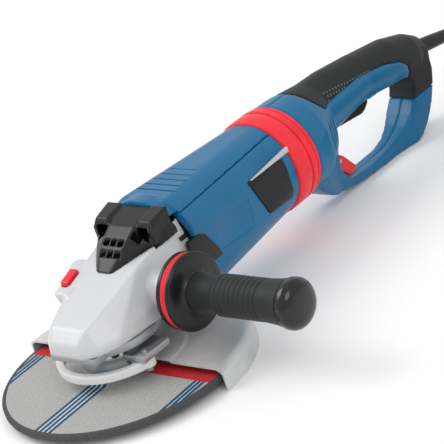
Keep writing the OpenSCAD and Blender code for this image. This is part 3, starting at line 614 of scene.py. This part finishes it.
# Inside the motor: grey striped steel, amber wire, salmon copper bars, yellow brass, soft black
# carbon, dark brown phenolic board, shiny potting resin and a dull dark fan.
finish(stacked_steel("electrical_steel_stack", "#8D9196"), "field_core", "armature_core")
finish(wound_copper("enamelled_copper_wire", "#C4713A"), "field_coils", "armature_windings")
finish(bright_metal("commutator_copper_bars", "#C07A50", 0.26, (0.02, 1.2, 1.2)), "commutator")
finish(bright_metal("drawn_brass_tube", "#C9A34E", 0.3), "brush_holders")
finish(moulded_plastic("pressed_carbon_brush", "#2B2B2C", 0.6, 0.4), "carbon_brushes")
finish(bright_metal("spring_steel_wire", "#A9ABAE", 0.28), "brush_springs")
finish(moulded_plastic("phenolic_brush_bridge", "#2A2320", 0.5, 0.5), "brush_bridge")
finish(moulded_plastic("epoxy_potted_module", "#34373C", 0.25, 2.0, coat=0.4), "speed_module")
finish(moulded_plastic("glass_filled_nylon_fan", "#34373A", 0.5, 0.7), "fan")


# ---- Motor housing and top cover ----
# Two shells of satin blue glass-filled nylon. The top one laps over the joint with the black cover
# and has five narrow grooves across it. A soft black pad is let into each side.
# Satin blue nylon: even colour, a fine grain and a soft broad highlight.
housing_blue = moulded_plastic("blue_nylon_moulding", "#0A618B", 0.34, 0.9, coat=0.08)
motor_shell = rounded(from_cad("motor_shell", "motor_housing"), 1.5, 4)
for side in (-1, 1):
    near, far = sorted((side * 49.3, side * 54))
    cut_away(motor_shell, (110, near, 64), (160, far, 92), 0.5, (0, math.radians(3), 0))
settle(motor_shell, "machine", "blue_plastic", housing_blue, "motor_housing")
cover_shell = rounded(from_cad("cover_shell", "top_cover"), 1.5, 4)
for i in range(5):
    cut_away(cover_shell, (100 + 10 * i, -38, 128.2), (102.2 + 10 * i, 38, 138), 0.5)
settle(cover_shell, "machine", "blue_plastic", housing_blue, "top_cover")
pads = bevelled(from_cad("soft_side_pads", "side_pads"), 1.0, 3, 40)
# Soft elastomer: nearly black and dull.
pad_rubber = soft_rubber("soft_pad_elastomer", "#0F1112", 1.0, 0.08)
settle(pads, "machine", "pad_plastic", pad_rubber, "side_pads")


def plate(name, corners, near, far):
    """A flat plate: its outline is drawn in X and Z at one depth, filled, and extruded in Y"""
    deselect()
    bpy.ops.mesh.primitive_plane_add(size=MM)
    made = bpy.context.object
    made.name = name
    bpy.ops.object.mode_set(mode="EDIT")
    bpy.ops.mesh.select_mode(type="VERT")
    bpy.ops.mesh.select_all(action="SELECT")
    bpy.ops.mesh.merge(type="CENTER")
    places = [Vector((x, near, z)) * MM for x, z in corners]
    bpy.ops.transform.translate(value=places[0])
    for a, b in zip(places, places[1:]):
        bpy.ops.mesh.extrude_region_move(TRANSFORM_OT_translate={"value": b - a})
    bpy.ops.mesh.select_all(action="SELECT")
    bpy.ops.mesh.edge_face_add()
    bpy.ops.mesh.select_all(action="SELECT")
    bpy.ops.mesh.extrude_region_move(TRANSFORM_OT_translate={"value": Vector((0, far - near, 0)) * MM})
    bpy.ops.mesh.select_all(action="SELECT")
    bpy.ops.mesh.normals_make_consistent(inside=False)
    bpy.ops.object.mode_set(mode="OBJECT")
    return made


# Moulded trim beside each pad: a pale wedge over it, which is a painted highlight standing for the light
# on the pad's upper bevel, and a dark nylon corner guard behind the side handle's boss.
WEDGE_OUTLINE = [(172, 102.6), (229, 102.6), (229, 107.5)]
CORNER_OUTLINE = [(74, 93), (88, 95), (97, 90), (107, 71), (110, 62), (74, 62)]
# Painted highlight: a pale grey sheet laid along the pad's upper edge where the light catches it.
painted_highlight_trim = sprayed_casting("pad_bevel_painted_highlight", "#BFC1C2", 0.4)
for side, word in ((-1, "left"), (1, "right")):
    wedge = bevelled(plate(f"pad_highlight_wedge_{word}", WEDGE_OUTLINE, side * 46.5, side * 49.6), 0.3)
    settle(wedge, "machine", "blue_plastic", painted_highlight_trim)
    corner = bevelled(plate(f"corner_guard_{word}", CORNER_OUTLINE, side * 46, side * 50.5), 0.5)
    settle(corner, "machine", "black_plastic", black_nylon)


# Thin ribs that divide the two rows of outlets in the black cover. They are moulded with it, in
# the same nylon.
RIB_OUTLINE = [(22, 98), (22, 101), (24, 102.6), (36, 112.6), (41, 115.4), (41, 104)]
RIB_HALF = 0.8
for i, y in enumerate((-4.2, 4.2)):
    rib = bevelled(plate(f"vent_rib_{i + 1}", RIB_OUTLINE, y - RIB_HALF, y + RIB_HALF), 0.3)
    settle(rib, "machine", "black_plastic", black_nylon)


# ---- Swivel joint ----
# A black nylon hub that the rear handle turns on, inside a red elastomer ring that takes up the
# shake of the motor. Two narrow grooves run round the ring.
finish(black_nylon, "swivel_hub")
ring = turned("damping_ring", [
    (0, 30), (0, 47.6), (0.8, 49), (2.4, 50), (17.4, 50), (18.4, 49.6), (19, 48), (20.6, 48), (21.2, 49.6),
    (22, 50), (26.6, 50), (27.4, 49.6), (28, 47.6), (29.8, 47.6), (30.4, 48.7), (31.2, 49.1), (33, 49.1),
    (34, 48.2), (34, 30), (0, 30),
], (233, 0, 79), (1, 0, 0), 96)
# Red elastomer: strong colour and a dull, faintly dusty surface.
red_rubber = soft_rubber("red_damping_elastomer", "#D6202B", 1.0, 0.2)
settle(ring, "machine", "red_rubber", red_rubber, "swivel_ring")


# ---- Side handle ----
# Screwed into the head's left boss: a black washer, a red vibration damper, a black collar, then a
# moulded core with a dark rubber grip and a glossy domed cap.
SIDE = (37, 0, 69)
OUT = (0, -1, 0)
# Zinc plating: bright and cool, with fine streaks.
zinc = bright_metal("zinc_plated_steel", "#BFC1C4", 0.26)
finish(zinc, "side_handle_bolt", "clamp_screw", "lock_pin", "pivot_pins")
washer = turned("side_washer", [
    (66, 7), (66, 33.8), (66.7, 34.5), (69.3, 34.5), (70, 33.8), (70, 7), (66, 7),
], SIDE, OUT)
settle(washer, "machine", "black_plastic", black_nylon, "side_handle_washer")
damper = turned("side_damper", [
    (70, 12), (70, 33), (70.6, 33.8), (71.6, 34), (72.6, 33.4), (73.5, 32.4), (74.4, 33.4), (75.4, 34),
    (76.4, 33.8), (77, 33), (77, 12), (70, 12),
], SIDE, OUT)
settle(damper, "machine", "damper_rubber", red_rubber, "side_handle_damper")
collar = turned("side_collar", [
    (77, 7), (77, 34.4), (77.5, 35.2), (78.4, 35.5), (80, 35.5), (81, 35), (81.8, 33.6), (82.6, 28),
    (83.2, 22.5), (84.6, 19), (86, 17.8), (86, 7), (77, 7),
], SIDE, OUT)
settle(collar, "machine", "flange_plastic", black_nylon, "side_handle_flange")
finish(black_nylon, "side_handle_core")
grip_line = [(86, 13), (86, 16.9), (86.6, 17.5), (89, 17), (92, 16.3), (104, 16.3), (111, 16.7), (113, 17.2),
             (114.5, 18.3)]
GROOVES, GROOVE_PITCH = 9, 5.6
for i in range(GROOVES):
    at = 115.5 + GROOVE_PITCH * i
    grip_line += [(at, 18.7), (at + 2.6, 18.75), (at + 3.6, 18.1), (at + 4.6, 18.1)]
grip_line += [(168, 18.8), (175, 19.3), (181, 19.9), (185, 20.6), (188.4, 21), (189, 20.4), (189, 13),
              (86, 13)]
side_grip = turned("side_grip_sleeve", grip_line, SIDE, OUT, 72)
# Dark grip rubber: matt, a shade lighter than the nylon beside it.
grip_rubber = soft_rubber("dark_grip_rubber", "#121415", 0.9, 0.08)
settle(side_grip, "machine", "grip_rubber", grip_rubber, "side_handle_grip")
end_cap = turned("side_end_cap", [
    (189, 0), (189, 20.6), (190.4, 21.8), (192, 22.5), (196, 22.5), (198, 21.9), (200, 20.6), (202.4, 18),
    (203.9, 14.5), (204.7, 9), (205, 0),
], SIDE, OUT)
# Nylon from a polished mould: black, with clear reflections.
cap_gloss = moulded_plastic("glossy_black_cap", "#08090A", 0.16, 2.0, coat=0.35)
settle(end_cap, "machine", "cap_plastic", cap_gloss, "side_handle_cap")


# ---- Wheel, flange and nut ----
# Resin-bonded grinding wheel, black and gritty at the rim, with a printed paper label on top: grey
# with dark blue stripes, and red beside the guard. A steel flange and nut clamp it.
WHEEL_R = 115.0
LABEL_R = 111.0
LABEL_ABOVE = 8.7
RED_HALF = 9.0


def printed_wheel(name):
    """Grit 1 mm apart, and a label that stops 4 mm from the rim and lets the grit show through"""
    made, tree, place, shader = finish_tree(name)
    grit = add(tree, "TexVoronoi", {"Vector": place, "Scale": 0.9}).outputs["Distance"]
    speck = add(tree, "TexNoise", {"Vector": place, "Scale": 0.9, "Detail": 5.0}).outputs["Fac"]
    split = add(tree, "SeparateXYZ", {"Vector": place})
    across = add(tree, "MapRange", {"Value": split.outputs["Y"], "From Min": -WHEEL_R, "From Max": WHEEL_R})
    stripes = add(tree, "ValToRGB", {"Fac": across.outputs[0]})
    ramp = stripes.color_ramp
    ramp.interpolation = "CONSTANT"
    paper, blue, white = linear("#B9B9B7"), linear("#1D5375"), linear("#DFE6EA")
    marks = [(-107, blue), (-104, white), (-102.5, blue), (-99.5, white), (-98, blue), (-95, paper),
             (-12.2, blue), (-8.4, white), (-6.8, blue), (-3, white), (-1.4, blue), (2.4, white), (4, blue),
             (7.8, paper), (95, blue), (98, white), (99.5, blue), (102.5, white), (104, blue), (107, paper)]
    ramp.elements[0].color = paper
    ramp.elements[1].position = (marks[0][0] + WHEEL_R) / (2 * WHEEL_R)
    ramp.elements[1].color = marks[0][1]
    for y, colour in marks[1:]:
        ramp.elements.new((y + WHEEL_R) / (2 * WHEEL_R)).color = colour
    in_band = {0: split.outputs["X"], 1: 0.0, 2: RED_HALF}
    near_guard = add(tree, "Math", in_band, operation="COMPARE").outputs[0]
    red = linear("#D22630")
    label = add(tree, "MixRGB", {"Fac": near_guard, "Color1": stripes.outputs[0], "Color2": red})
    worn = add(tree, "MapRange", {"Value": speck, "From Min": 0.35, "From Max": 0.65, "To Min": 0.55,
                                  "To Max": 1.0}).outputs[0]
    shade = add(tree, "CombineColor", {"Red": worn, "Green": worn, "Blue": worn}).outputs[0]
    print_tone = add(tree, "MixRGB", {"Fac": 1.0, "Color1": label.outputs[0], "Color2": shade},
                     blend_type="MULTIPLY").outputs[0]
    flat = add(tree, "VectorMath", {0: place, 1: (1, 1, 0)}, operation="MULTIPLY").outputs[0]
    reach = add(tree, "VectorMath", {0: flat}, operation="LENGTH").outputs["Value"]
    inside = add(tree, "Math", {0: reach, 1: LABEL_R}, operation="LESS_THAN").outputs[0]
    above = add(tree, "Math", {0: split.outputs["Z"], 1: LABEL_ABOVE}, operation="GREATER_THAN").outputs[0]
    covered = add(tree, "Math", {0: inside, 1: above}, operation="MULTIPLY").outputs[0]
    stone = add(tree, "MixRGB", {"Fac": speck, "Color1": linear("#151617"), "Color2": linear("#5A5C5E")})
    tone = add(tree, "MixRGB", {"Fac": covered, "Color1": stone.outputs[0], "Color2": print_tone}).outputs[0]
    bump = add(tree, "Bump", {"Height": grit, "Strength": 0.55, "Distance": 0.0006}).outputs[0]
    tree.links.new(tone, shader.inputs["Base Color"])
    tree.links.new(bump, shader.inputs["Normal"])
    shader.inputs["Roughness"].default_value = 0.82
    return made


wheel = turned("bonded_wheel", [
    (8, 11.115), (8, 28), (5.5, 33), (3, 38), (3, 114.2), (3.4, 114.8), (4, 115), (8, 115), (8.6, 114.8),
    (9, 114.2), (9, 40), (11.5, 35), (14, 30), (14, 11.115), (8, 11.115),
], (0, 0, 0), (0, 0, 1), 128)
settle(wheel, "wheel_spindle", "wheel_abrasive", printed_wheel("resin_bonded_abrasive"), "grinding_wheel")
backing = bevelled(from_cad("wheel_backing_flange", "backing_flange"), 0.6, 2, 40)
# Turned steel: bright with a slight tool mark.
turned_steel = bright_metal("turned_flange_steel", "#A4A6A9", 0.3)
settle(backing, "wheel_spindle", "flange_steel", turned_steel, "backing_flange")
nut = bevelled(from_cad("wheel_nut", "clamping_nut"), 0.7, 2, 40)
# Blackened steel: dark grey metal, worn to a low shine.
nut_black = bright_metal("blackened_nut_steel", "#55575A", 0.34)
settle(nut, "wheel_spindle", "nut_steel", nut_black, "clamping_nut")


# ---- Guard ----
# Pressed and plated steel sheet over the rear half of the wheel, with a stepped top and a rolled
# skirt. A band with a block and screw clamps it round the neck, closed by a curved white lever.
def satin_sheet(name, code):
    """Satin plated sheet: long soft brush marks, and painted reflections of what is round it, as broad
    darker clouds in the colour
    """
    made, tree, place, shader = finish_tree(name)
    drawn = add(tree, "Mapping", {"Vector": place, "Scale": (0.9, 0.03, 0.9)}).outputs[0]
    marks = add(tree, "TexNoise", {"Vector": drawn, "Scale": 1.2, "Detail": 3.0}).outputs["Fac"]
    cloud = add(tree, "TexNoise", {"Vector": place, "Scale": 0.025, "Detail": 2.0}).outputs["Fac"]
    base = linear(code)
    # Painted reflections: the colour is darkened to six tenths in broad clouds.
    dull = [c * 0.6 for c in base[:3]] + [1]
    tone = add(tree, "MixRGB", {"Fac": cloud, "Color1": base, "Color2": dull}).outputs[0]
    rough = add(tree, "MapRange", {"Value": marks, "To Min": 0.26, "To Max": 0.4}).outputs[0]
    bump = add(tree, "Bump", {"Height": marks, "Strength": 0.1, "Distance": 0.0002}).outputs[0]
    tree.links.new(tone, shader.inputs["Base Color"])
    tree.links.new(rough, shader.inputs["Roughness"])
    tree.links.new(bump, shader.inputs["Normal"])
    shader.inputs["Metallic"].default_value = 0.25
    return made


# Satin plated sheet: pale, with soft cloudy painted reflections that darken its colour.
guard_steel = satin_sheet("satin_plated_sheet", "#E2E3E4")
guard_sheet = turned("guard_sheet", [
    (20, 33.5), (20, 59.2), (19.6, 60.6), (18.4, 62.2), (18, 63.6), (18, 113), (17.6, 116), (16.6, 118.8),
    (14.8, 120.9), (12.4, 121.9), (10, 122), (-4, 122), (-4, 120.2), (10, 120.2), (12, 119.9), (13.6, 118.9),
    (15, 116.8), (15.8, 114.6), (16, 112.4), (16, 62.6), (16.6, 61), (17.8, 59.4), (18, 58), (18, 33.5),
    (20, 33.5),
], (0, 0, 0), (0, 0, 1), 96, -180)
settle(guard_sheet, "guard", "guard_paint", guard_steel, "guard_shell", smooth=40)
band = bevelled(from_cad("neck_band", "guard_band"), 0.5, 2, 40)
# Rolled strip is bright and smooth. The sintered block is the same grey but duller.
band_steel = bright_metal("rolled_band_steel", "#C9CBCD", 0.3)
settle(band, "guard", "guard_band_steel", band_steel, "guard_band")
block = bevelled(from_cad("band_block", "clamp_block"), 1.0, 3, 40)
block_steel = bright_metal("sintered_block_steel", "#C4C6C8", 0.36)
settle(block, "guard", "guard_band_steel", block_steel, "clamp_block")
lever = rounded(from_cad("band_lever", "clamp_lever"), 0.8, 4)
# White paint on a cast lever: clean, with a soft gloss.
lever_white = sprayed_casting("white_lever_paint", "#E4E4E4", 0.3)
settle(lever, "guard_lever", "lever_paint", lever_white, "clamp_lever")


# ---- Spindle lock ----
# A stepped red button in the boss on the right shoulder, with a steel pin below it that drops into
# the crown gear while the wheel is changed.
# Red nylon: strong colour with a light gloss.
red_nylon = moulded_plastic("red_nylon_moulding", "#D81F2A", 0.32, 0.9, coat=0.2)
button = rounded(from_cad("spindle_lock_button", "lock_button"), 0.5, 3)
settle(button, "spindle_lock", "red_plastic", red_nylon, "lock_button")


# ---- Rear handle ----
# Two blue nylon halves that meet on the centre plane, with a soft black elastomer moulded over the
# grip and the rear corner of the bow. It turns on the swivel hub.
for node, name in (("handle_shell_left", "handle_half_left"), ("handle_shell_right", "handle_half_right")):
    half = rounded(from_cad(name, node), 1.5, 6)
    side = -1 if name.endswith("left") else 1
    for x, wide in ((300, 41.5), (307, 38), (314, 34.2), (321, 30.4)):
        near, far = sorted((side * (wide - 2.6), side * 60))
        cut_away(half, (x, near, 50), (x + 2, far, 97), 0.5)
    settle(half, "rear_handle", "blue_plastic", housing_blue, node)
overmould = rounded(from_cad("handle_overmould", "grip_overmould"), 1.5, 6)
# Soft grip elastomer: nearly black, dull to the touch and the eye.
overmould_rubber = soft_rubber("soft_grip_elastomer", "#101213", 0.8, 0.08)
settle(overmould, "rear_handle", "soft_grip", overmould_rubber, "grip_overmould")
STUD_ROWS, STUDS_A_ROW = 5, 17
STUD_PITCH, ROW_GAP, GRIP_SLOPE = 4.6, 4.2, 0.17
deselect()
bpy.ops.mesh.primitive_uv_sphere_add(segments=8, ring_count=4, radius=1.3 * MM)
dot = bpy.context.object
dots = []
for row in range(STUD_ROWS):
    for i in range(STUDS_A_ROW):
        along = 328 + STUD_PITCH * i + STUD_PITCH / 2 * (row % 2)
        at = Vector((along, 0, 112 - GRIP_SLOPE * STUD_PITCH * i - ROW_GAP * row)) * MM
        for side in (-1, 1):
            hit, place, way, _ = overmould.ray_cast(at + Vector((0, side * 60 * MM, 0)), (0, -side, 0))
            if hit and abs(place.y) > 12 * MM:
                copy = dot.copy()
                copy.data = dot.data.copy()
                copy.location = place - way * 0.4 * MM
                bpy.context.collection.objects.link(copy)
                dots.append(copy)
bpy.data.objects.remove(dot, do_unlink=True)
deselect()
for copy in dots:
    copy.select_set(True)
bpy.context.view_layer.objects.active = dots[0]
bpy.ops.object.join()
dots[0].name = "grip_dots"
# The studs are painted paler than the grip: a painted highlight where they stand in the light, and polish
# from the hand.
stud_painted_highlight_rubber = soft_rubber("grip_studs_polish_and_painted_highlight", "#4A4F53", 0.8, 0.1)
settle(dots[0], "rear_handle", "soft_grip", stud_painted_highlight_rubber)
# Phenolic switch case: dark and evenly dull.
finish(moulded_plastic("phenolic_switch_case", "#1E1F21", 0.4, 0.6), "switch_body")


# Sleeve round the lead where it leaves the handle: smooth moulded rubber that tapers towards its
# end. It is straight, and rides with the handle.
sleeve_start = Vector((488, 0, 78.5))
sleeve_way = Vector((562, 0, 64.4)) - sleeve_start
sleeve_line = [(0, 4.6), (0, 8.1), (19, 8), (38, 7.6), (56, 7), (70, 6.5), (74.6, 6.2), (75.3, 5.6),
               (75.3, 4.6), (0, 4.6)]
sleeve = turned("lead_sleeve", sleeve_line, sleeve_start, sleeve_way, 32)
settle(sleeve, "rear_handle", "cord_rubber", lead_rubber, "strain_relief")


# ---- Trigger and release lever ----
# A dark nylon paddle under the grip, and a red lever at the foot of the bow that frees the swivel
# joint. Each turns on a steel pin.
paddle = rounded(from_cad("trigger_paddle", "trigger"), 0.9, 4)
# Dark nylon with a grain for the fingers: even and dull.
trigger_nylon = moulded_plastic("dark_nylon_trigger", "#121416", 0.4, 0.8)
settle(paddle, "switch_trigger", "trigger_plastic", trigger_nylon, "trigger")
release = rounded(from_cad("swivel_lever", "release_lever"), 0.7, 4)
settle(release, "swivel_release", "red_plastic", red_nylon, "release_lever")
